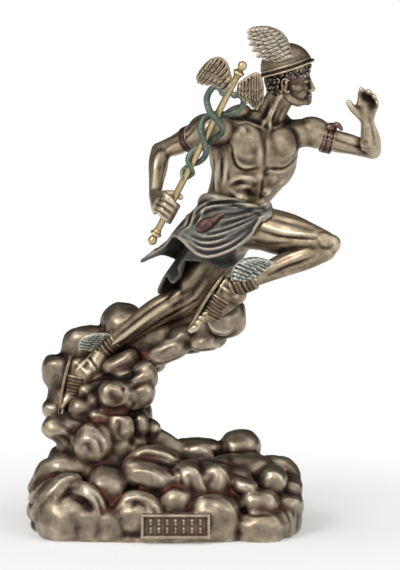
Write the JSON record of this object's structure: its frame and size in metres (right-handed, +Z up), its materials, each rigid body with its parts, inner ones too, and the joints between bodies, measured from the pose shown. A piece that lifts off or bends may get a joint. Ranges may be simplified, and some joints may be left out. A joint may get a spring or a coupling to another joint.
{
  "type": "running messenger god figurine",
  "caption": "Cold-cast bronze tabletop figurine of a winged-helmet messenger running on billowing clouds with a herald's staff.",
  "frame": {"origin": "middle of the flat underside of the cloud base", "axes": "+Z up; +X the way the runner heads; -Y the front, which the chest and the name plate face"},
  "size_m": [0.2051, 0.109, 0.2903],
  "materials": {
    "dark_bronze": "cold-cast bronze with dark brown wash in the creases and rubbed pale-gold crests",
    "bronze": "cold-cast bronze with dark wash, blue-grey cloth and grey-green wings",
    "gold_bronze": "gold-coloured rod with grey-green snakes and pale bronze wings",
    "plate_bronze": "dark sunk field with rubbed gold border and strokes"
  },
  "bodies": {
    "root": {"cloud_base": "dark_bronze", "running_figure": "bronze", "caduceus": "gold_bronze", "name_plate": "plate_bronze"}
  },
  "joints": []
}
